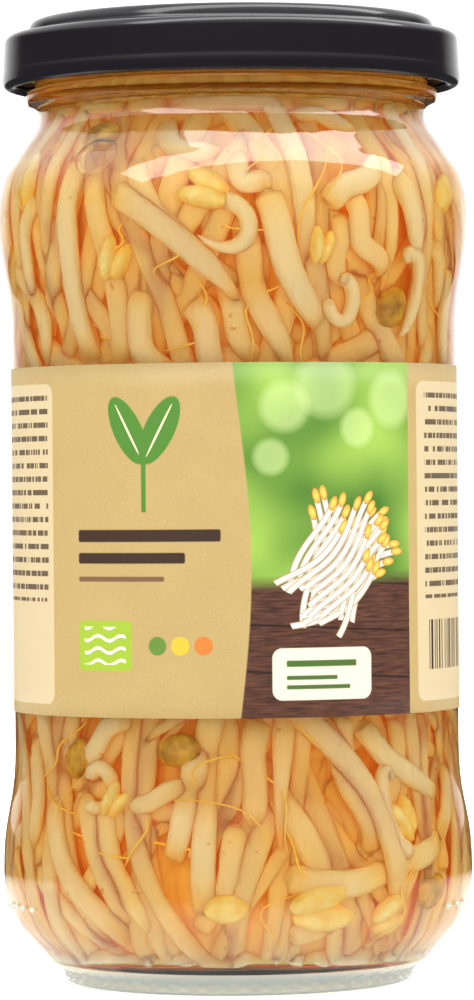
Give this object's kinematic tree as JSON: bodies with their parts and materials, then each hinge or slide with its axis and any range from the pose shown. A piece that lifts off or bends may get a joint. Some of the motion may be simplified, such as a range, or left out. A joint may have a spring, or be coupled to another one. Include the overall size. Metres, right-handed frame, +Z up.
{
  "type": "jar of bean sprouts",
  "caption": "Closed glass jar packed with mung bean sprouts in brine, with a wrapped paper label and a black twist-off lid.",
  "frame": {"origin": "middle of the ring that the jar stands on", "axes": "+Z up along the jar's axis, the front of the label faces -Y"},
  "size_m": [0.0676, 0.0676, 0.1382],
  "materials": {
    "clear_glass": "clear gloss",
    "black_lacquer": "gloss",
    "sealing_compound": "matte",
    "label_paper": "satin",
    "amber_brine": "clear liquid",
    "sprout_flesh": "wet, translucent",
    "seed_coat_green": "wet, matte",
    "bean_yellow": "wet, satin"
  },
  "bodies": {
    "jar": {"jar_glass": "clear_glass", "label": "label_paper", "brine": "amber_brine", "sprout_bunch": "sprout_flesh", "seed_coat_1": "seed_coat_green", "seed_coat_2": "seed_coat_green", "seed_coat_3": "seed_coat_green", "seed_coat_4": "seed_coat_green", "seed_coat_5": "seed_coat_green", "seed_coat_6": "seed_coat_green", "seed_coat_7": "seed_coat_green", "bean_half_1": "bean_yellow", "bean_half_2": "bean_yellow", "bean_half_3": "bean_yellow", "bean_half_4": "bean_yellow", "bean_half_5": "bean_yellow"},
    "seal": {"lid_gasket": "sealing_compound"},
    "closure": {"lid": "black_lacquer"}
  },
  "joints": [
    {"name": "lid_rise", "type": "slide", "parent": "jar", "child": "seal", "axis": [0, 0, 1], "range_m": [0, 0.0016]},
    {"name": "lid_twist", "type": "hinge", "parent": "seal", "child": "closure", "pos_m": [0, 0, 0.1285], "axis": [0, 0, 1], "range_deg": [0, 65]}
  ],
  "couplings": [
    {"joint": "lid_rise", "follows": "lid_twist", "m_per_rad": 0.0014104}
  ]
}
